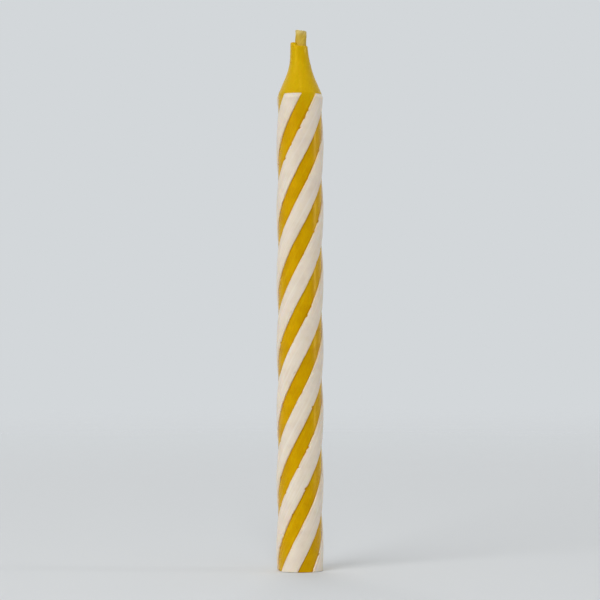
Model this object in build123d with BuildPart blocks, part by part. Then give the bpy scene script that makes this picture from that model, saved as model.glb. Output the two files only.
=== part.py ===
"""Spiral birthday candle: a wax rod with a tapered tip, wound with raised ribbons, on a wick.

The candle stands on its flat base with the origin at the centre of that base and +Z up the wick.
All sizes are in millimetres and all angles in degrees.
"""

import os
from math import cos, degrees, radians, sin, tan

from build123d import *

# Overall size
candle_length = 63.5  # from the base to the cut end of the wick
core_diameter = 5.1  # plain wax rod, without the ribbons on it

# Wick
wick_diameter = 1.36  # cotton with the wax that it has soaked up
wick_stub = 1.95  # bare length above the wax
bond_gap = 0.01  # between pieces that are stuck to one another

# Ribbons wound round the rod
stripe_count = 4
stripe_width = 2.25  # measured round the rod
stripe_wall = 0.14  # height of the ribbon at its two edges
stripe_rise = 0.1  # how much higher it is along its middle
stripe_edge_round = 0.06
helix_lead = 31.4  # rise of a ribbon in one full turn, right-handed
stripe_start = -121.0  # where the middle of the first ribbon leaves the base, from +X

# Tapered tip
neck_wall = 0.345  # wax round the wick where the tip ends
neck_length = 2.38  # along the axis, down to where the neck's line meets the cone's
neck_taper = 3.0  # half-angle of the neck
cone_taper = 23.5  # half-angle of the cone
flare_radius = 9.5  # hollow curve between neck and cone
shoulder_radius = 1.2  # rounding where the cone meets the side
side_clearance = 0.02  # the straight side of the trimming outline stands clear of the ribbons

# Radii and heights that follow from the sizes above
wick_radius = wick_diameter / 2
bore_radius = wick_radius + bond_gap
core_radius = core_diameter / 2
stripe_root = core_radius + bond_gap
stripe_edge = core_radius + stripe_wall
stripe_crown = stripe_edge + stripe_rise
edge_round = min(stripe_edge_round, 0.8 * (stripe_wall - bond_gap))
outline_radius = stripe_crown + side_clearance

neck_top_radius = bore_radius + neck_wall
neck_foot_radius = neck_top_radius + neck_length * tan(radians(neck_taper))
cone_height = (outline_radius - neck_foot_radius) / tan(radians(cone_taper))
wax_top = candle_length - wick_stub
neck_foot = wax_top - neck_length
shoulder = neck_foot - cone_height
stripe_top = shoulder + (outline_radius - core_radius) / tan(radians(cone_taper))

# The hollow curve may be no longer than the neck and the cone that it joins.
neck_slant = neck_length / cos(radians(neck_taper))
cone_slant = cone_height / cos(radians(cone_taper))
turn = radians(cone_taper - neck_taper)
flare = min(flare_radius, 0.9 * min(neck_slant, cone_slant - shoulder_radius) / tan(turn / 2))

os.makedirs("parts", exist_ok=True)

# Outside of the finished candle, which trims the rod and the ribbons alike
with BuildPart() as outside:
    with BuildSketch(Plane.XZ) as half_section:
        with BuildLine():
            side = FilletPolyline(
                (outline_radius, 0),
                (outline_radius, shoulder),
                (neck_foot_radius, neck_foot),
                (neck_top_radius, wax_top),
                radius=(shoulder_radius, flare),
            )
            Polyline(side @ 1, (0, wax_top), (0, 0), side @ 0)
        make_face()
    revolve(axis=Axis.Z)

# Wick, from the base to its cut end
with BuildPart() as wick:
    with BuildSketch(Plane.XY):
        Circle(wick_radius)
    extrude(amount=candle_length)

wick.part.label = "wick"
export_step(wick.part, "parts/wick.step")

# Wax rod with its tapered tip, bored for the wick
with BuildPart() as core:
    with BuildSketch(Plane.XY):
        Circle(core_radius)
    extrude(amount=wax_top)
    add(outside.part, mode=Mode.INTERSECT)
    with BuildSketch(Plane.XY):
        Circle(bore_radius)
    extrude(amount=wax_top, mode=Mode.SUBTRACT)

core.part.label = "core"
export_step(core.part, "parts/core.step")

# Ribbon: its flat section climbs a helix and is then cut by the cone of the tip
half_angle = stripe_width / core_radius / 2
root_corner = (stripe_root * cos(half_angle), stripe_root * sin(half_angle))
edge_corner = (stripe_edge * cos(half_angle), stripe_edge * sin(half_angle))

with BuildPart() as stripe:
    with BuildLine():
        Helix(helix_lead, stripe_top, core_radius)
    with BuildSketch(Plane.XY) as ribbon_section:
        with BuildLine():
            ThreePointArc(
                (edge_corner[0], -edge_corner[1]), (stripe_crown, 0), edge_corner
            )
            Line(edge_corner, root_corner)
            ThreePointArc(
                root_corner, (stripe_root, 0), (root_corner[0], -root_corner[1])
            )
            Line((root_corner[0], -root_corner[1]), (edge_corner[0], -edge_corner[1]))
        make_face()
        outer_corners = ribbon_section.vertices().sort_by_distance((0, 0, 0))[-2:]
        fillet(outer_corners, edge_round)
    sweep(is_frenet=True)
    add(outside.part, mode=Mode.INTERSECT)

# Ribbons share the circle evenly
for number in range(stripe_count):
    angle = stripe_start + number * 360 / stripe_count
    with BuildPart() as wound_stripe:
        add(stripe.part, rotation=(0, 0, angle))
    name = f"stripe_{number + 1}"
    wound_stripe.part.label = name
    export_step(wound_stripe.part, f"parts/{name}.step")

print(f"tip {candle_length - shoulder:.2f} mm, flare radius {flare:.2f} mm")
print(f"ribbon covers {degrees(2 * half_angle):.1f} degrees of the rod")
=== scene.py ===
# %% [markdown]
# # A spiral birthday candle
#
# The real candle is a rod of yellow wax pressed out round a cotton wick. Four ribbons of white wax
# are laid along the rod, the rod is twisted while it is warm so that the ribbons climb round it, and
# a cutter like a pencil sharpener shaves one end to a tip with a short stub of wick. The lesson makes
# the same things in the same way: rod, ribbons, twist, cut and wick, and then the finishes.

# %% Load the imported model
import math

import bmesh
import bpy
from mathutils import Matrix, Vector


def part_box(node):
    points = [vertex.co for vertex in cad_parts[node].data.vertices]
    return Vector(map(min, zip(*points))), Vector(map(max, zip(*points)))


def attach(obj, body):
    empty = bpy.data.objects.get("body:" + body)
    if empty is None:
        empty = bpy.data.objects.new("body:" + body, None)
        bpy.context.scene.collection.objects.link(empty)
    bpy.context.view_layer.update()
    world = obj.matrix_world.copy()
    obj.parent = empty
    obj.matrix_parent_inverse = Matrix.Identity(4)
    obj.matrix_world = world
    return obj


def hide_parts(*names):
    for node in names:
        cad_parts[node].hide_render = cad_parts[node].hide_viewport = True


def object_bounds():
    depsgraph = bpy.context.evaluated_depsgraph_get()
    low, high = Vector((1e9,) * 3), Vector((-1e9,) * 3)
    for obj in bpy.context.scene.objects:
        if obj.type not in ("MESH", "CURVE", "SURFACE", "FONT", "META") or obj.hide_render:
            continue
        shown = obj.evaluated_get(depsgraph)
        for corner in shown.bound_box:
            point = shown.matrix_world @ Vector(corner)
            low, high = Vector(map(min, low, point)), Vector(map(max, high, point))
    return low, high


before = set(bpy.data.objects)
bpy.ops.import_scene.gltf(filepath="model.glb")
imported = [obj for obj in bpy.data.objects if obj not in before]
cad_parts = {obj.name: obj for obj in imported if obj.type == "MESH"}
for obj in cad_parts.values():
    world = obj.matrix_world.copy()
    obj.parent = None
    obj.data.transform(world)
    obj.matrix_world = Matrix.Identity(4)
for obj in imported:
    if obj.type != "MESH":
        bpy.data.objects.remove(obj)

cad_low, cad_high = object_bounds()
print("CAD nodes:", sorted(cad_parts))
print("CAD box in metres:", [round(v, 5) for v in (*cad_low, *cad_high)])

# %% [markdown]
# ## Sizes
#
# Blender works in metres, and this candle is under six millimetres thick. Mesh tools merge or skip
# points that lie closer than a ten-thousandth of a unit, which is a visible dent on a candle. So the
# pieces are modelled a thousand times up, where one unit stands for one millimetre, and are shrunk
# when they are done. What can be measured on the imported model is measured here. The other sizes are
# the ones that the solids were made with, and they come where they are first needed.

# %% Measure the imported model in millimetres
MM = 0.001

core_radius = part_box("core")[1].x / MM
wax_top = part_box("core")[1].z / MM
ribbon_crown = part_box("stripe_1")[1].x / MM
wick_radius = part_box("wick")[1].x / MM
wick_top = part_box("wick")[1].z / MM
print(f"rod {2 * core_radius:.2f}, over the ribbons {2 * ribbon_crown:.2f}, length {wick_top:.1f} mm")

# %% [markdown]
# ## The outline of the tip
#
# Seen from the side the tip is a bottle: a nearly straight neck round the wick, a hollow curve, and a
# cone down to the full width. Two straight lines that are joined smoothly by part of a circle make
# such a curve, so one function rounds a corner, and the rod and the ribbons' cutter both use it.

# %% Corners of the outline
neck_wall = 0.355  # wax round the wick where the tip ends
neck_length = 2.38
neck_taper = math.radians(3)
cone_taper = math.radians(23.5)

neck_top_radius = wick_radius + neck_wall
neck_foot_radius = neck_top_radius + neck_length * math.tan(neck_taper)
neck_foot = wax_top - neck_length


def cone_height(radius):
    """Where the cone of the tip has this radius."""
    return neck_foot - (radius - neck_foot_radius) / math.tan(cone_taper)


neck_top = (neck_top_radius, wax_top)
neck_corner = (neck_foot_radius, neck_foot)
cone_corner = (core_radius, cone_height(core_radius))
print(f"neck from {neck_foot:.2f} to {wax_top:.2f} mm, cone from {cone_corner[1]:.2f} mm")

# %% Round the hollow between neck and cone
flare_radius = 9.5


def round_corner(before, corner, after, radius, steps):
    """Points of the arc of that radius that rounds a corner, on a line through three points."""
    before, corner, after = Vector(before), Vector(corner), Vector(after)
    arrive = (corner - before).normalized()
    leave = (after - corner).normalized()
    turn = math.atan2(arrive.cross(leave), arrive.dot(leave))
    start = corner - arrive * radius * math.tan(abs(turn) / 2)
    centre = start + Vector((-arrive.y, arrive.x)) * math.copysign(radius, turn)
    points = []
    for step in range(steps + 1):
        points.append(centre + Matrix.Rotation(turn * step / steps, 2) @ (start - centre))
    return [tuple(point) for point in points]


flare = round_corner(cone_corner, neck_corner, neck_top, flare_radius, steps=18)
print(f"hollow curve from {flare[0][1]:.2f} to {flare[-1][1]:.2f} mm")

# %% [markdown]
# ## The yellow rod
#
# The rod could be a cylinder with a cone on top, but the real one is a single piece of wax with a
# hole down the middle. So one circle is taken for a walk: out across the base, up the side, along the
# tip, over the collar and down the bore to where it began. Many rings on the side give a soft noise
# something to push, because pressed wax is never quite true. The wax has soaked into the yarn, so the
# bore is a little narrower than the wick, most of all at the collar, where the wick leans.

# %% A lathe
same_point = 0.0005  # points closer than this are merged into one


def clear_selection():
    """An operator acts on all that is selected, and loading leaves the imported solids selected."""
    bpy.ops.object.select_all(action="DESELECT")


def turn_rings(rings, sides):
    """A shape turned as on a lathe: a circle, extruded through rings of (radius, height)."""
    clear_selection()
    radius, height = rings[0]
    bpy.ops.mesh.primitive_circle_add(
        vertices=sides, radius=radius, enter_editmode=True, location=(0, 0, 0)
    )
    bpy.ops.transform.translate(value=(0, 0, height))
    for next_radius, next_height in rings[1:]:
        rise = next_height - height
        bpy.ops.mesh.extrude_region_move(TRANSFORM_OT_translate={"value": (0, 0, rise)})
        grow = next_radius / radius
        bpy.ops.transform.resize(value=(grow, grow, 1), center_override=(0, 0, next_height))
        radius, height = next_radius, next_height


def close_mesh(merge=same_point):
    """Merges close points, fills open ends, turns all faces outwards and leaves edit mode."""
    bpy.ops.mesh.select_all(action="SELECT")
    bpy.ops.mesh.remove_doubles(threshold=merge)
    bpy.ops.mesh.fill_holes(sides=0)
    bpy.ops.mesh.normals_make_consistent(inside=False)
    bpy.ops.object.mode_set(mode="OBJECT")


# %% Turn the rod
core_sides = 96
side_step = 0.5
cone_step = 0.25
cut_edge = 0.05  # tiny round left by the knife at the base
shoulder_round = 0.6
collar_round = 0.08
bore_foot = (0.9 * wick_radius, 0)
bore_top = (0.6 * wick_radius, wax_top)


def straight_run(start, end, step):
    """Points along a straight line, about one step apart, without its two ends."""
    count = max(1, round(math.dist(start, end) / step))
    shares = [number / count for number in range(1, count)]
    return [tuple(Vector(start).lerp(Vector(end), share)) for share in shares]


base_edge = (core_radius, cut_edge)
shoulder = round_corner(base_edge, cone_corner, neck_corner, shoulder_round, steps=6)
collar = round_corner(neck_corner, neck_top, bore_top, collar_round, steps=4)

rings = [bore_foot, (core_radius - cut_edge, 0), base_edge]
rings += straight_run(base_edge, shoulder[0], side_step) + shoulder
rings += straight_run(shoulder[-1], flare[0], cone_step) + flare
rings += straight_run(flare[-1], collar[0], cone_step) + collar
rings += [bore_top, bore_foot]
turn_rings(rings, core_sides)
close_mesh()
yellow_core = bpy.context.object
yellow_core.name = "yellow_core"
print(f"rod: {len(rings)} rings, {len(yellow_core.data.polygons)} faces")

# %% [markdown]
# ## The end of the neck
#
# The blade that shaves the tip breaks off the last of the wax, so the collar round the wick isn't
# level: on one side a ledge stands up, and on the other the wax thins out against the yarn. The whole
# neck also leans a little to the side of the ledge. With proportional editing a few points can be
# pulled and their neighbours follow.


# %% Pull some points and their neighbours
def select_points(test):
    """In edit mode, selects the points for which test(point) is true, and the faces they span."""
    mesh = bmesh.from_edit_mesh(bpy.context.object.data)
    for vert in mesh.verts:
        vert.select_set(test(vert.co))
    mesh.select_flush_mode()
    bmesh.update_edit_mesh(bpy.context.object.data)


def pull(points, move, reach):
    """Moves the points for which points(point) is true, and takes their neighbours along."""
    select_points(points)
    bpy.ops.transform.translate(
        value=move,
        use_proportional_edit=True,
        proportional_edit_falloff="SMOOTH",
        proportional_size=reach,
    )


# %% Raise a ledge on one side of the collar, thin the other and lean the neck
ledge_half_angle = math.radians(50)
ledge_move = (0, 0, 0.45)
ledge_reach = 0.35
thin_depth = 0.1  # height of the rim that is thinned
thin_from = 0.75  # share of the neck's radius
thin_move = (-0.03, 0, 0.03)
thin_reach = 1.2
neck_end = 0.6  # this much of the neck leans as one
neck_lean = (-0.1, 0, 0)
neck_reach = 2.2


def on_ledge(point):
    on_rim = point.z > wax_top - collar_round
    return on_rim and -point.x > math.cos(ledge_half_angle) * point.xy.length


def on_thin_side(point):
    return point.z > wax_top - thin_depth and point.x > thin_from * neck_top_radius


bpy.ops.object.mode_set(mode="EDIT")
pull(on_ledge, ledge_move, ledge_reach)
pull(on_thin_side, thin_move, thin_reach)
pull(lambda point: point.z > wax_top - neck_end, neck_lean, neck_reach)
bpy.ops.object.mode_set(mode="OBJECT")
print(f"wax reaches {max(vert.co.z for vert in yellow_core.data.vertices):.2f} mm")

# %% [markdown]
# ## Uneven wax
#
# A Displace modifier pushes each point along its normal by the brightness of a cloud texture: outwards
# where it is bright, inwards where it is dark. The base is pushed too, but a knife cut it, so its
# points are pressed flat again.

# %% Modifiers and cloud textures
sparse_ramp = 0.12  # how soon a sparse cloud grows to full strength


def apply_modifier(kind, **settings):
    """Adds a modifier to the piece in hand, sets it and applies it."""
    modifier = bpy.context.object.modifiers.new(kind.title(), kind)
    for name, value in settings.items():
        setattr(modifier, name, value)
    bpy.ops.object.modifier_apply(modifier=modifier.name)


def clouds(name, size, depth=2, sparse=None):
    """A cloud texture with blobs of that size. sparse keeps only what is brighter than that level."""
    texture = bpy.data.textures.new(name, "CLOUDS")
    texture.noise_scale = size
    texture.noise_depth = depth
    if sparse is not None:
        texture.use_color_ramp = True
        dark, bright = texture.color_ramp.elements
        dark.position, dark.color = sparse, (0, 0, 0, 1)
        bright.position, bright.color = sparse + sparse_ramp, (1, 1, 1, 1)
    return texture


# %% Push the rod out of true
swell_size = 4.0
swell_height = 0.04

apply_modifier("DISPLACE", texture=clouds("rod_swell", swell_size), strength=swell_height)
bpy.ops.object.mode_set(mode="EDIT")
select_points(lambda point: point.z < cut_edge / 2)
bpy.ops.transform.resize(value=(1, 1, 0), center_override=(0, 0, 0))
bpy.ops.object.mode_set(mode="OBJECT")
print("rod in mm:", [round(v, 2) for v in yellow_core.dimensions])

# %% [markdown]
# ## One white ribbon, still straight
#
# On the real candle the ribbons lie straight along the rod until it is twisted. So a ribbon starts as
# its cross-section, a shallow arch on the rod: one point spun to an arc for the top, a short wall down
# each side, and an arc back along the rod. A thin slice of it is repeated up the rod with an Array.

# %% Corners of the ribbon's section
ribbon_width = 2.25  # measured round the rod
ribbon_wall = 0.14  # height of a ribbon at its two edges
sink = 0.04  # the ribbon is melted a little way into the rod

half_angle = ribbon_width / core_radius / 2
edge_radius = core_radius + ribbon_wall
edge_x, edge_y = edge_radius * math.cos(half_angle), edge_radius * math.sin(half_angle)
root_radius = core_radius - sink
root_x, root_y = root_radius * math.cos(half_angle), root_radius * math.sin(half_angle)
arch_centre = (ribbon_crown**2 - edge_radius**2) / (2 * (ribbon_crown - edge_x))
arch_half = math.asin(edge_y / (ribbon_crown - arch_centre))
print(f"a ribbon covers {2 * math.degrees(half_angle):.1f} degrees of the rod")

# %% Draw the section and make a slice of it
slice_height = 0.12
arch_steps = 18
root_steps = 10
wall_steps = 2


def start_point(place):
    """A mesh of one point, in edit mode, ready to be spun or extruded."""
    clear_selection()
    bpy.ops.mesh.primitive_plane_add(size=1, enter_editmode=True, location=(0, 0, 0))
    bpy.ops.mesh.merge(type="CENTER")
    bpy.ops.transform.translate(value=place)


wall_step = ((root_x - edge_x) / wall_steps, (root_y - edge_y) / wall_steps, 0)
wall_back = (-wall_step[0], wall_step[1], 0)

start_point((edge_x, -edge_y, 0))
bpy.ops.mesh.spin(
    steps=arch_steps, angle=-2 * arch_half, center=(arch_centre, 0, 0), axis=(0, 0, 1)
)
for _ in range(wall_steps):
    bpy.ops.mesh.extrude_region_move(TRANSFORM_OT_translate={"value": wall_step})
bpy.ops.mesh.spin(steps=root_steps, angle=2 * half_angle, center=(0, 0, 0), axis=(0, 0, 1))
for _ in range(wall_steps):
    bpy.ops.mesh.extrude_region_move(TRANSFORM_OT_translate={"value": wall_back})
bpy.ops.mesh.select_all(action="SELECT")
bpy.ops.mesh.remove_doubles(threshold=same_point)
bpy.ops.mesh.extrude_region_move(TRANSFORM_OT_translate={"value": (0, 0, slice_height)})
slice_points = bmesh.from_edit_mesh(bpy.context.object.data).verts
print(f"slice: {len(slice_points)} points")

# %% Round its two upper edges and stack the slices
edge_round = 0.1
spare_end = 0.5  # extra length at the top, for the cutter to take off
pick_margin = 0.001  # a point within this of a place counts as lying there

ribbon_top = cone_height(root_radius) + spare_end
slice_count = math.ceil(ribbon_top / slice_height)


def on_edge(point):
    return abs(abs(point.y) - edge_y) < pick_margin and abs(point.x - edge_x) < pick_margin


def stack(count, step):
    """Repeats the piece in hand upwards, each copy joined to the one below."""
    apply_modifier(
        "ARRAY",
        count=count,
        use_relative_offset=False,
        use_constant_offset=True,
        constant_offset_displace=(0, 0, step),
        use_merge_vertices=True,
        merge_threshold=same_point,
    )


select_points(on_edge)
bpy.ops.mesh.bevel(offset=edge_round, segments=4, affect="EDGES")
bpy.ops.object.mode_set(mode="OBJECT")
stack(slice_count, slice_height)
bpy.ops.object.mode_set(mode="EDIT")
close_mesh()
ribbon = bpy.context.object
print(f"straight ribbon: {slice_count} slices, {len(ribbon.data.polygons)} faces")

# %% [markdown]
# ## Marking the edges
#
# A warm ribbon that is pulled round a rod gets ragged edges: they wander, and here and there a nick is
# torn out. The points to be moved are put in vertex groups while the ribbon is straight and they are
# easy to find. Each group's weight grows from nothing near the middle to 1 at the wall, so that the
# crown gives way with the wall and the surface never folds.


# %% Put the ribbon's points in groups
def mark(group, test, weight):
    """Puts the points for which test(point) is true in that vertex group of the piece in hand."""
    piece = bpy.context.object
    if group not in piece.vertex_groups:
        piece.vertex_groups.new(name=group)
    piece.vertex_groups.active = piece.vertex_groups[group]
    select_points(test)
    bpy.context.scene.tool_settings.vertex_group_weight = weight
    bpy.ops.object.vertex_group_assign()


def share_across(point):
    """Where a point lies across the straight ribbon, from -1 at one edge to 1 at the other."""
    return math.atan2(point.y, point.x) / half_angle


# Each pair is a share of the half-width and the weight beyond it.
edge_weights = ((0.5, 0.05), (0.62, 0.2), (0.74, 0.5), (0.86, 0.95), (0.91, 1.0))
bpy.ops.object.mode_set(mode="EDIT")
for share, weight in edge_weights:
    mark("near_wall", lambda point: share_across(point) < -share, weight)
    mark("far_wall", lambda point: share_across(point) > share, weight)
mark("outside", lambda point: point.xy.length > core_radius, 1.0)
bpy.ops.object.mode_set(mode="OBJECT")
print("groups:", [group.name for group in ribbon.vertex_groups])

# %% [markdown]
# ## Four ribbons
#
# The ribbon is copied for each place on the rod, each copy with its own mesh, and the copies are laid
# side by side as on a bench. A Displace modifier that reads its texture at the place where a copy lies
# then tears every copy's edges differently.

# %% Copy the ribbon and tear the edges of each copy
ribbon_count = 4
wander = clouds("edge_wander", 1.6)
wander_width = 0.11
nicks = clouds("edge_nicks", 0.5, depth=1, sparse=0.68)
nick_depth = 0.16
bench_step = 10


def pick_up(piece):
    """Selects one piece alone and makes it the one in hand."""
    clear_selection()
    piece.select_set(True)
    bpy.context.view_layer.objects.active = piece


ribbons = []
for number in range(ribbon_count):
    piece = ribbon.copy()
    piece.data = ribbon.data.copy()
    piece.name = f"white_ribbon_{number + 1}"
    bpy.context.collection.objects.link(piece)
    pick_up(piece)
    bpy.ops.transform.translate(value=(number * bench_step, 0, 0))
    for group, inward in (("near_wall", nick_depth), ("far_wall", -nick_depth)):
        on_bench = {"texture_coords": "GLOBAL", "direction": "Y", "vertex_group": group}
        apply_modifier("DISPLACE", texture=wander, strength=wander_width, **on_bench)
        apply_modifier("DISPLACE", texture=nicks, strength=inward, mid_level=0.0, **on_bench)
    ribbons.append(piece)
bpy.data.objects.remove(ribbon)
print("ribbons:", [(piece.name, len(piece.data.polygons)) for piece in ribbons])

# %% [markdown]
# ## Twist
#
# A Simple Deform modifier in Twist mode does what the warm twist does. The angle is a full turn for
# each helix lead of height. The twisted ribbon is turned to its place on the rod, and its outside is
# pushed a little out of true. The middle level of 1 means that it is only ever pushed inwards, so the
# candle never grows past its solid.

# %% Twist each ribbon and turn it to its place
helix_lead = 31.4  # rise of a ribbon in one full turn
ribbon_start = math.radians(-121)  # where the first ribbon leaves the base, from +X
crown_swell = clouds("crown_swell", 2.2)
crown_give = 0.05


def twist(length, lead):
    """Twists the piece in hand by a full turn for each lead of its length, and returns the angle."""
    angle = 2 * math.pi * length / lead
    apply_modifier("SIMPLE_DEFORM", deform_method="TWIST", deform_axis="Z", angle=angle)
    return angle


for number, piece in enumerate(ribbons):
    pick_up(piece)
    piece.location = (0, 0, 0)
    turn = math.degrees(twist(piece.dimensions.z, helix_lead))
    piece.rotation_euler.z = ribbon_start + number * 2 * math.pi / ribbon_count
    bpy.ops.object.transform_apply(location=False, rotation=True, scale=False)
    apply_modifier(
        "DISPLACE", texture=crown_swell, strength=crown_give, mid_level=1.0, vertex_group="outside"
    )
    print(f"{piece.name}: twisted {turn:.0f} degrees over {piece.dimensions.z:.2f} mm")

# %% [markdown]
# ## Cut to the tip
#
# The blade that shaves the tip cuts rod and ribbons in one go. A Boolean does the same with a turned
# cutter, whose cone carries on the cone of the rod. It comes after the roughening, so the cut is clean
# however ragged the edges are. The cutter's flat foot trims the lower end as the knife does.

# %% Turn the cutter
cutter_radius = ribbon_crown + 0.02  # clear of the crowns
cutter_sides = 160
cut_radius = 1.2  # rounding of the ribbons where the cone cuts them
base_gap = 0.02  # the ribbons' feet stand this much above the rod's, so that the two never flicker
cut_drop = 0.09  # the cutter sits this much lower than the cone, so that the rod closes over the cut

cutter_foot = (cutter_radius, base_gap)
cutter_corner = (cutter_radius, cone_height(cutter_radius) - cut_drop)
cutter_top = (neck_foot_radius, neck_foot - cut_drop)
rounded_cut = round_corner(cutter_foot, cutter_corner, cutter_top, cut_radius, steps=5)
turn_rings([cutter_foot, *rounded_cut, cutter_top], cutter_sides)
close_mesh()
cutter = bpy.context.object
print(f"cutter: straight to {rounded_cut[0][1]:.2f} mm, cone up to {cutter_top[1]:.2f} mm")

# %% Cut both ends of each ribbon
sliver = 0.004  # a cut leaves slivers, and merging points this close removes them

for piece in ribbons:
    pick_up(piece)
    apply_modifier("BOOLEAN", operation="INTERSECT", solver="EXACT", object=cutter)
    bpy.ops.object.mode_set(mode="EDIT")
    close_mesh(merge=sliver)
bpy.data.objects.remove(cutter)
print("faces and heights:", [(len(p.data.polygons), round(p.dimensions.z, 2)) for p in ribbons])

# %% [markdown]
# ## The wick
#
# A candle wick is cotton yarn, a few strands laid round one another. Wax fills most of the grooves
# between them. Here a circle is drawn in at three places with proportional editing, which gives three
# soft lobes. It is stacked up and twisted like the ribbon, only much tighter, and its upper end is
# cut a little askew.

# %% Draw the yarn's section
strand_count = 3
groove = 0.93  # how far a groove is drawn in
groove_reach = 0.55
wick_sides = 48


def in_groove(point):
    """True for the one point of the circle at the middle of each groove."""
    return math.cos(strand_count * math.atan2(point.y, point.x)) > 1 - pick_margin


clear_selection()
bpy.ops.mesh.primitive_circle_add(
    vertices=wick_sides, radius=wick_radius, enter_editmode=True, location=(0, 0, 0)
)
select_points(in_groove)
bpy.ops.transform.resize(
    value=(groove, groove, 1),
    center_override=(0, 0, 0),
    use_proportional_edit=True,
    proportional_edit_falloff="SMOOTH",
    proportional_size=groove_reach,
)
cotton_wick = bpy.context.object
cotton_wick.name = "cotton_wick"
print(f"{strand_count} grooves, {(1 - groove) * wick_radius:.3f} mm deep")

# %% Stack and twist it
yarn_step = 0.125
strand_lay = 6.0  # height of one full turn of the yarn
cut_slope = 0.08  # one side of the cut end is this much higher than its middle
fray = 0.05  # room for the uneven cut

wick_end = wick_top - cut_slope - fray
bpy.ops.mesh.select_all(action="SELECT")
bpy.ops.mesh.extrude_region_move(TRANSFORM_OT_translate={"value": (0, 0, yarn_step)})
bpy.ops.object.mode_set(mode="OBJECT")
stack(round(wick_end / yarn_step), yarn_step)
wick_length = cotton_wick.dimensions.z
turns = twist(wick_length, strand_lay) / (2 * math.pi)
print(f"wick: {len(cotton_wick.data.polygons)} faces, {wick_length:.2f} mm, {turns:.1f} turns")

# %% [markdown]
# ## The cut end of the wick
#
# Scissors leave the end blunt, a little askew and uneven. The end face is inset several times, so that
# it has points to move, and its innermost ring is drawn together in one point. A fine cloud texture
# lifts and lowers these points, only up and down, so that the face can't fold. The last two
# millimetres lean to one side, as they do where the blade pushed them.

# %% Shape both ends and lean the upper one
foot_gap = 0.03  # the lower end stays just inside the base, so that the two never flicker
inset_margins = (0.08, 0.1, 0.12, 0.12, 0.12)
lean = (0.1, 0, 0)
lean_below = 0.5  # the yarn leans from this far below the top of the wax
lean_reach = 3

bpy.ops.object.mode_set(mode="EDIT")
close_mesh()
bpy.ops.object.mode_set(mode="EDIT")
select_points(lambda point: point.z < pick_margin)
bpy.ops.transform.translate(value=(0, 0, foot_gap))
select_points(lambda point: point.z > wick_length - pick_margin)
for margin in inset_margins:
    bpy.ops.mesh.inset(thickness=margin)
bpy.ops.mesh.merge(type="CENTER")
mark("cut_end", lambda point: point.z > wick_length - pick_margin, 1.0)
bpy.ops.transform.rotate(
    value=-math.atan(cut_slope / wick_radius), orient_axis="Y", center_override=(0, 0, wick_length)
)
pull(lambda point: point.z > wax_top - lean_below, lean, lean_reach)
bpy.ops.object.mode_set(mode="OBJECT")
print(f"wick with both ends: {len(cotton_wick.data.polygons)} faces")

# %% Make the yarn lumpy and its cut end uneven
yarn_lumps = clouds("yarn_lumps", 0.5)
lump_height = 0.05
lump_level = 0.7  # most of the yarn is pushed inwards
cut_fibres = clouds("cut_fibres", 0.16)
fibre_height = 0.2

apply_modifier("DISPLACE", texture=yarn_lumps, strength=lump_height, mid_level=lump_level)
apply_modifier(
    "DISPLACE", texture=cut_fibres, strength=fibre_height, direction="Z", vertex_group="cut_end"
)
print(f"wick's end at {max(vert.co.z for vert in cotton_wick.data.vertices):.2f} mm")

# %% [markdown]
# ## Back to metres
#
# Each piece is shrunk to its real size, shaded smooth except at sharp edges, and tied to the packed
# model: it rides on the one body, and the solid it stands for is hidden.

# %% Finish the pieces
sharp_angle = math.radians(40)


def finish_piece(piece, node):
    pick_up(piece)
    piece.scale = (MM, MM, MM)
    bpy.ops.object.transform_apply(location=False, rotation=False, scale=True)
    bpy.ops.object.shade_smooth_by_angle(angle=sharp_angle)
    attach(piece, "root")
    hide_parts(node)
    print(piece.name, "stands for", node, [round(v / MM, 2) for v in piece.dimensions])


finish_piece(yellow_core, "core")
for number, piece in enumerate(ribbons, start=1):
    finish_piece(piece, f"stripe_{number}")
finish_piece(cotton_wick, "wick")

# %% [markdown]
# ## Tools for the finishes
#
# Colours are written as sRGB hex values, as a colour picker shows them, and turned to the linear
# values that the renderer needs. One function adds a node with its settings and links.


# %% Colour and node helpers
def linear(hex_colour):
    """The linear colour, with alpha, of an sRGB value such as #C8A70A."""
    values = [int(hex_colour[at : at + 2], 16) / 255 for at in (1, 3, 5)]
    return [v / 12.92 if v <= 0.04045 else ((v + 0.055) / 1.055) ** 2.4 for v in values] + [1.0]


def add_node(tree, kind, inputs, **settings):
    """Adds a node. inputs gives each socket, by name or number, a value or another node's output."""
    node = tree.nodes.new(kind)
    for name, value in settings.items():
        setattr(node, name, value)
    for socket, value in inputs.items():
        if isinstance(value, bpy.types.NodeSocket):
            tree.links.new(value, node.inputs[socket])
        else:
            node.inputs[socket].default_value = value
    return node


def new_material(name):
    """An empty material and its node tree, with a shader joined to the output."""
    material = bpy.data.materials.new(name)
    material.use_nodes = True
    tree = material.node_tree
    return material, tree, tree.nodes["Principled BSDF"]


def scale_for(size_mm):
    """The texture scale that gives blobs of that size, because object coordinates are in metres."""
    return 1 / (size_mm * MM)


print(f"#808080 is {linear('#808080')[0]:.3f} of white in linear light")

# %% [markdown]
# ## Straight lines on a twisted rod
#
# Wax that is pressed through a die keeps fine lines along its length, and the warm twist winds them
# into spirals. A texture could be painted along each piece, but there is a simpler way: turn every
# point back by the angle that the twist gave it. On these straight coordinates a noise stretched along
# the rod draws straight lines, and on the candle they run round with the ribbons. The same trick with
# a shorter lead serves for the yarn of the wick.


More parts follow.
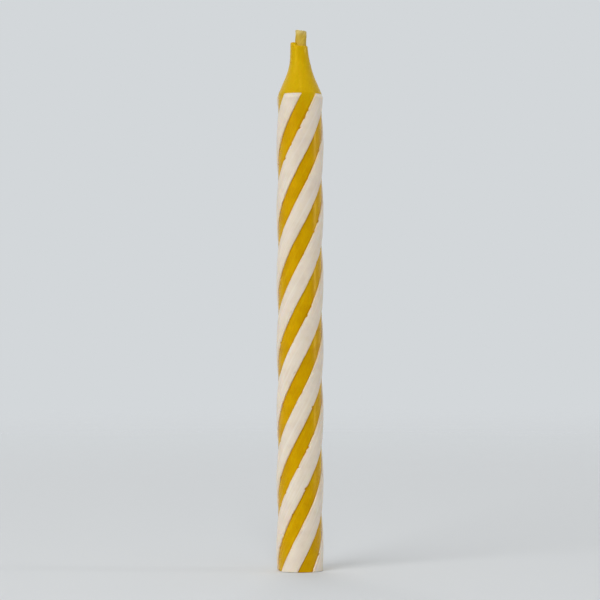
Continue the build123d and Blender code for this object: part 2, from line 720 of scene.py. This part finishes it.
# %% Coordinates that undo a twist
def straight_coordinates(tree, lead):
    """The object coordinates, the same with a twist of that lead taken out, and the height."""
    place = add_node(tree, "ShaderNodeTexCoord", {}).outputs["Object"]
    height = add_node(tree, "ShaderNodeSeparateXYZ", {0: place}).outputs["Z"]
    turn_back = -2 * math.pi / (lead * MM)
    turn = add_node(tree, "ShaderNodeMath", {0: height, 1: turn_back}, operation="MULTIPLY")
    straight = add_node(
        tree,
        "ShaderNodeVectorRotate",
        {"Vector": place, "Angle": turn.outputs[0]},
        rotation_type="Z_AXIS",
    ).outputs[0]
    return place, straight, height


def draw_lines(tree, straight, width_mm, length_mm):
    """Streaks of that width and length along straight coordinates, from 0 to 1."""
    stretched = add_node(
        tree, "ShaderNodeMapping", {"Vector": straight, "Scale": (1, 1, width_mm / length_mm)}
    )
    noise = add_node(
        tree,
        "ShaderNodeTexNoise",
        {"Vector": stretched.outputs[0], "Scale": scale_for(width_mm), "Detail": 2.0},
    )
    return noise.outputs[0]


print(f"to turn back, in degrees per mm: rod {360 / helix_lead:.1f}, yarn {360 / strand_lay:.1f}")

# %% [markdown]
# ## Where the ribbons are
#
# Both waxes change along the edges of the ribbons. To find the edges, the angle round the straightened
# rod is folded into the distance from the middle of the nearest ribbon, which counts from 0 there to
# 0.5 half-way to the next ribbon.

# %% Distance from the middle of a ribbon
ribbon_pitch = 2 * math.pi / ribbon_count
edge_at = half_angle / ribbon_pitch


def from_ribbon_middle(tree, straight):
    """Distance from the middle of the nearest ribbon, as a share of the way to the next one."""
    parts = add_node(tree, "ShaderNodeSeparateXYZ", {0: straight}).outputs
    angle = add_node(tree, "ShaderNodeMath", {0: parts["Y"], 1: parts["X"]}, operation="ARCTAN2")
    ribbons_round = add_node(
        tree,
        "ShaderNodeMath",
        {0: angle.outputs[0], 1: 1 / ribbon_pitch, 2: -ribbon_start / ribbon_pitch},
        operation="MULTIPLY_ADD",
    )
    folded = {0: ribbons_round.outputs[0], 1: 0.5}
    return add_node(tree, "ShaderNodeMath", folded, operation="PINGPONG").outputs[0]


print(f"a ribbon's edge is {edge_at:.3f} of the way to the next ribbon")

# %% [markdown]
# ## Yellow wax
#
# Paraffin wax dyed right through, pressed through a die and twisted warm. To the eye it is a deep
# yellow with a soft gloss, faint lines along the twist, and a slight cloudiness, because the wax sets
# in crystals. Beside a ribbon the yellow is painted a shade deeper, as painted shade in the corner
# where the ribbon's wall meets the rod, but only near the outside, so the cut base stays even. The
# tip is painted a touch paler than the sides.

# %% Yellow paraffin wax, with painted shade beside the ribbons
MIX_A, MIX_B, MIX_RESULT = 6, 7, 2  # a Mix node has several sockets of one name, these for colour

yellow_wax, tree, shader = new_material("yellow_paraffin_wax")
place, straight, height = straight_coordinates(tree, helix_lead)

# Painted shade: beside each ribbon the yellow is mixed towards a deeper orange for the corner where
# the ribbon's wall meets the rod.
corner_shade_width = 0.3
corner_shade_end = edge_at + corner_shade_width / core_radius / ribbon_pitch
corner_shade_start, corner_shade_full = 0.9 * core_radius, 0.97 * core_radius
across = add_node(tree, "ShaderNodeVectorMath", {0: straight, 1: (1, 1, 0)}, operation="MULTIPLY")
from_axis = add_node(tree, "ShaderNodeVectorMath", {0: across.outputs[0]}, operation="LENGTH")
near_side = add_node(
    tree,
    "ShaderNodeMapRange",
    {
        "Value": from_axis.outputs["Value"],
        "From Min": corner_shade_start * MM,
        "From Max": corner_shade_full * MM,
        "To Max": 0.6,
    },
).outputs[0]
from_middle = from_ribbon_middle(tree, straight)
painted_corner_shade = add_node(
    tree,
    "ShaderNodeMapRange",
    {"Value": from_middle, "From Min": corner_shade_end, "From Max": edge_at, "To Max": near_side},
    interpolation_type="SMOOTHSTEP",
).outputs[0]
# B98003 is the painted shade in those corners, kept to the outside of the rod.
wax = add_node(
    tree,
    "ShaderNodeMix",
    {0: painted_corner_shade, MIX_A: linear("#D2A304"), MIX_B: linear("#B98003")},
    data_type="RGBA",
).outputs[MIX_RESULT]
print(f"the seam reaches {corner_shade_end:.3f} of the way to the next ribbon")

# %% Its clouds, its paler tip and its lines
crystals = add_node(
    tree, "ShaderNodeTexNoise", {"Vector": place, "Scale": scale_for(1.2), "Detail": 4.0}
).outputs[0]
cloudy = add_node(
    tree, "ShaderNodeMapRange", {"Value": crystals, "From Min": 0.42, "From Max": 0.68, "To Max": 0.5}
).outputs[0]
wax = add_node(
    tree, "ShaderNodeMix", {0: cloudy, MIX_A: wax, MIX_B: linear("#B78503")}, data_type="RGBA"
).outputs[MIX_RESULT]

# The tip is painted a touch paler than the rod's sides.
tip_foot = cone_corner[1]
tip_blend = 3.0  # the rod's colour changes to the tip's over this height
on_tip = add_node(
    tree,
    "ShaderNodeMapRange",
    {
        "Value": height,
        "From Min": (tip_foot - tip_blend) * MM,
        "From Max": tip_foot * MM,
        "To Max": 0.75,
    },
    interpolation_type="SMOOTHSTEP",
).outputs[0]
wax = add_node(
    tree, "ShaderNodeMix", {0: on_tip, MIX_A: wax, MIX_B: linear("#CFAC0A")}, data_type="RGBA"
).outputs[MIX_RESULT]

lines = draw_lines(tree, straight, width_mm=0.22, length_mm=9)
faint_lines = add_node(
    tree, "ShaderNodeMapRange", {"Value": lines, "From Min": 0.5, "From Max": 0.75, "To Max": 0.45}
).outputs[0]
wax = add_node(
    tree, "ShaderNodeMix", {0: faint_lines, MIX_A: wax, MIX_B: linear("#DEB714")}, data_type="RGBA"
).outputs[MIX_RESULT]
tree.links.new(wax, shader.inputs["Base Color"])
print(f"the tip's colour begins at {tip_foot - tip_blend:.1f} mm and is full at {tip_foot:.1f} mm")

# %% Its gloss, relief and depth
paraffin_ior = 1.43
line_depth = 0.02 * MM

gloss = add_node(
    tree,
    "ShaderNodeMapRange",
    {"Value": crystals, "From Min": 0.3, "From Max": 0.7, "To Min": 0.2, "To Max": 0.32},
).outputs[0]
relief = add_node(
    tree, "ShaderNodeBump", {"Height": lines, "Strength": 0.6, "Distance": line_depth}
).outputs[0]
tree.links.new(gloss, shader.inputs["Roughness"])
tree.links.new(relief, shader.inputs["Normal"])
shader.inputs["IOR"].default_value = paraffin_ior
shader.inputs["Specular IOR Level"].default_value = 0.34
shader.inputs["Specular Tint"].default_value = linear("#FFD030")  # the gleam stays yellow
shader.inputs["Subsurface Weight"].default_value = 0.4
shader.inputs["Subsurface Radius"].default_value = (1.0, 0.6, 0.1)
shader.inputs["Subsurface Scale"].default_value = 0.3 * MM  # light goes this far under the surface
print(yellow_wax.name, "has", len(tree.nodes), "nodes")

# %% [markdown]
# ## White wax
#
# The same paraffin, whitened and pressed on as ribbons. It is nearly opaque, so it looks like matt
# cream with a soft sheen. Towards its two edges the ribbon is thin and the yellow below warms it a
# little.

# %% White paraffin wax, warmer at its edges
white_wax, tree, shader = new_material("white_paraffin_wax")
place, straight, _ = straight_coordinates(tree, helix_lead)

stain_start = 0.72 * edge_at
from_middle = from_ribbon_middle(tree, straight)
near_edge = add_node(
    tree,
    "ShaderNodeMapRange",
    {"Value": from_middle, "From Min": stain_start, "From Max": edge_at},
    interpolation_type="SMOOTHSTEP",
).outputs[0]
crystals = add_node(
    tree, "ShaderNodeTexNoise", {"Vector": place, "Scale": scale_for(1.1), "Detail": 5.0}
).outputs[0]
stain = add_node(tree, "ShaderNodeMath", {0: near_edge, 1: crystals}, operation="MULTIPLY").outputs[0]
wax = add_node(
    tree,
    "ShaderNodeMix",
    {0: stain, MIX_A: linear("#E7DAC8"), MIX_B: linear("#E0C48E")},
    data_type="RGBA",
).outputs[MIX_RESULT]
print(f"a ribbon is warmer beyond {stain_start / edge_at:.2f} of its half-width")

# %% Its clouds, lines, sheen and depth
lines = draw_lines(tree, straight, width_mm=0.2, length_mm=7)
cloudy = add_node(
    tree, "ShaderNodeMapRange", {"Value": crystals, "From Min": 0.42, "From Max": 0.72, "To Max": 0.5}
).outputs[0]
wax = add_node(
    tree, "ShaderNodeMix", {0: cloudy, MIX_A: wax, MIX_B: linear("#D8C9B5")}, data_type="RGBA"
).outputs[MIX_RESULT]
pale_lines = add_node(
    tree, "ShaderNodeMapRange", {"Value": lines, "From Min": 0.48, "From Max": 0.7, "To Max": 0.6}
).outputs[0]
wax = add_node(
    tree, "ShaderNodeMix", {0: pale_lines, MIX_A: wax, MIX_B: linear("#EEE6DA")}, data_type="RGBA"
).outputs[MIX_RESULT]
tree.links.new(wax, shader.inputs["Base Color"])

relief = add_node(
    tree, "ShaderNodeBump", {"Height": lines, "Strength": 0.7, "Distance": line_depth}
).outputs[0]
tree.links.new(relief, shader.inputs["Normal"])
shader.inputs["Roughness"].default_value = 0.48
shader.inputs["IOR"].default_value = paraffin_ior
shader.inputs["Specular IOR Level"].default_value = 0.22
shader.inputs["Subsurface Weight"].default_value = 0.5
shader.inputs["Subsurface Radius"].default_value = (1.0, 0.75, 0.4)
shader.inputs["Subsurface Scale"].default_value = 0.2 * MM
print(white_wax.name, "has", len(tree.nodes), "nodes")

# %% [markdown]
# ## Waxed cotton
#
# The yarn has soaked up yellow wax, so it is stiff, a little paler than the rod and less shiny. Its
# cut end shows the bare cotton inside. Fibres run along the lay of the strands. Real ones are about a
# fiftieth of a millimetre thick, too fine to show, so they are drawn several times as coarse.

# %% Waxed cotton yarn
waxed_cotton, tree, shader = new_material("waxed_cotton_yarn")
_, straight, height = straight_coordinates(tree, strand_lay)

bare_from, bare_full = wick_top - 0.9, wick_top - 0.1
cut_end = add_node(
    tree,
    "ShaderNodeMapRange",
    {"Value": height, "From Min": bare_from * MM, "From Max": bare_full * MM},
    interpolation_type="SMOOTHSTEP",
).outputs[0]
fibres = draw_lines(tree, straight, width_mm=0.12, length_mm=1.6)
yarn = add_node(
    tree,
    "ShaderNodeMix",
    {0: cut_end, MIX_A: linear("#CFAF3C"), MIX_B: linear("#DFC97C")},
    data_type="RGBA",
).outputs[MIX_RESULT]
between_fibres = add_node(
    tree, "ShaderNodeMapRange", {"Value": fibres, "From Min": 0.6, "From Max": 0.35, "To Max": 0.5}
).outputs[0]
yarn = add_node(
    tree, "ShaderNodeMix", {0: between_fibres, MIX_A: yarn, MIX_B: linear("#B08B24")}, data_type="RGBA"
).outputs[MIX_RESULT]
relief = add_node(
    tree, "ShaderNodeBump", {"Height": fibres, "Strength": 0.8, "Distance": 0.04 * MM}
).outputs[0]
tree.links.new(yarn, shader.inputs["Base Color"])
tree.links.new(relief, shader.inputs["Normal"])
shader.inputs["Roughness"].default_value = 0.62
shader.inputs["IOR"].default_value = 1.45
shader.inputs["Specular IOR Level"].default_value = 0.3
print(waxed_cotton.name, "has", len(tree.nodes), "nodes")

# %% Give each piece its finish
yellow_core.data.materials.append(yellow_wax)
cotton_wick.data.materials.append(waxed_cotton)
for piece in ribbons:
    piece.data.materials.append(white_wax)
print("finishes:", [material.name for material in (yellow_wax, white_wax, waxed_cotton)])

# %% [markdown]
# ## Floor and backdrop
#
# A small product is usually shown on a sheet of pale paper that curves up behind it, so that no edge
# shows. Here the floor is a large disc that fades out towards its rim, and beyond it the world has the
# same pale colour. The camera and reflections see that colour as it is, and the rest of the scene gets
# only a dim, even light from it.

# %% Floor that fades into the backdrop
backdrop = linear("#D3D7DA")
floor_sides = 128
floor_radius = 0.5  # in metres, as are the two below
fade_start = 0.05
fade_end = 0.42
floor_gap = 0.02 * MM  # just below the candle's foot, so that the two never flicker

clear_selection()
bpy.ops.mesh.primitive_circle_add(
    vertices=floor_sides, radius=floor_radius, fill_type="NGON", location=(0, 0, -floor_gap)
)
floor = bpy.context.object
floor.name = "studio_floor"

paper, tree, shader = new_material("pale_paper")
place = add_node(tree, "ShaderNodeTexCoord", {}).outputs["Object"]
from_centre = add_node(tree, "ShaderNodeVectorMath", {0: place}, operation="LENGTH").outputs["Value"]
fade = add_node(
    tree,
    "ShaderNodeMapRange",
    {"Value": from_centre, "From Min": fade_start, "From Max": fade_end},
    interpolation_type="SMOOTHSTEP",
).outputs[0]
clear = add_node(tree, "ShaderNodeBsdfTransparent", {}).outputs[0]
shown = add_node(tree, "ShaderNodeMixShader", {0: fade, 1: shader.outputs[0], 2: clear}).outputs[0]
tree.links.new(shown, tree.nodes["Material Output"].inputs["Surface"])
shader.inputs["Base Color"].default_value = linear("#D5D8DA")
shader.inputs["Roughness"].default_value = 0.8
shader.inputs["Specular IOR Level"].default_value = 0.1
floor.data.materials.append(paper)
print(f"{floor.name} fades out from {fade_start} to {fade_end} m")

# %% Backdrop and dim light from all round
ambient = 0.2

world = bpy.data.worlds.new("studio")
bpy.context.scene.world = world
world.use_nodes = True
tree = world.node_tree
seen = add_node(tree, "ShaderNodeLightPath", {})
mirrored = add_node(
    tree,
    "ShaderNodeMath",
    {0: seen.outputs["Is Glossy Ray"], 1: seen.outputs["Is Transmission Ray"]},
    operation="MAXIMUM",
).outputs[0]
in_sight = add_node(
    tree, "ShaderNodeMath", {0: seen.outputs["Is Camera Ray"], 1: mirrored}, operation="MAXIMUM"
).outputs[0]
dim = tree.nodes["Background"]
dim.inputs["Color"].default_value = linear("#FFFFFF")
dim.inputs["Strength"].default_value = ambient
plain = add_node(tree, "ShaderNodeBackground", {"Color": backdrop, "Strength": 1.0}).outputs[0]
shown = add_node(tree, "ShaderNodeMixShader", {0: in_sight, 1: dim.outputs[0], 2: plain}).outputs[0]
tree.links.new(shown, tree.nodes["World Output"].inputs["Surface"])
print(f"{world.name}: the light from all round is {ambient} of full")

# %% [markdown]
# ## Light
#
# Soft boxes do the work of windows: a large one on the left in front for the form, a weaker one
# behind, one overhead for the floor, a narrow one high in front for the streak on the tip, and a
# strip on the right for a gleam in the yellow valleys. The one behind would draw a hard line of glare
# along the outline, so it is hidden from reflections. A lamp's power grows with the square of its
# distance. With the factor below, a share of 1 lights a surface that faces the lamp so that its
# colour renders as it is written.

# %% Five soft boxes
middle = (cad_low + cad_high) / 2


def soft_box(name, azimuth, elevation, distance, width, height, share, gleams=True):
    """A lamp aimed at the candle. Azimuth counts from the camera's side to the right, in degrees."""
    turn, rise = math.radians(azimuth), math.radians(elevation)
    outward = (math.sin(turn) * math.cos(rise), -math.cos(turn) * math.cos(rise), math.sin(rise))
    place = [m + distance * v for m, v in zip(middle, outward)]
    tilt = (math.pi / 2 - rise, 0, turn)
    bpy.ops.object.light_add(type="AREA", location=place, rotation=tilt)
    lamp = bpy.context.object
    lamp.name = name
    lamp.visible_camera = False
    lamp.visible_glossy = gleams
    lamp.data.shape = "RECTANGLE"
    lamp.data.size, lamp.data.size_y = width, height
    lamp.data.energy = share * math.pi**2 * distance**2
    print(f"{name}: {lamp.data.energy:.2f} W at {distance} m")


clear_selection()
soft_box("key_box", -40, 24, 0.80, 0.50, 0.56, share=0.59)
soft_box("back_box", 190, 30, 0.90, 0.60, 0.60, share=0.34, gleams=False)
soft_box("ceiling_box", 0, 89, 1.20, 1.00, 1.00, share=0.32)
soft_box("top_strip", 2, 44, 0.60, 0.08, 0.34, share=0.13)
soft_box("right_strip", 86, 3, 0.60, 0.05, 0.40, share=0.30)

# %% [markdown]
# ## Camera
#
# The candle is seen straight from the front, with a long lens from half-way up, so its sides stay
# parallel. It fills most of the height of a square picture.

# %% Camera in front
lens = 135
sensor = 36
fill = 0.9  # share of the picture's height

distance = (cad_high.z - cad_low.z) / fill * lens / sensor
place = (middle.x, middle.y - distance, middle.z)
bpy.ops.object.camera_add(location=place, rotation=(math.pi / 2, 0, 0))
camera = bpy.context.object
camera.data.lens = lens
camera.data.sensor_width = sensor
bpy.context.scene.camera = camera
bpy.context.scene.view_settings.view_transform = "Standard"
print(f"camera {distance:.3f} m away")
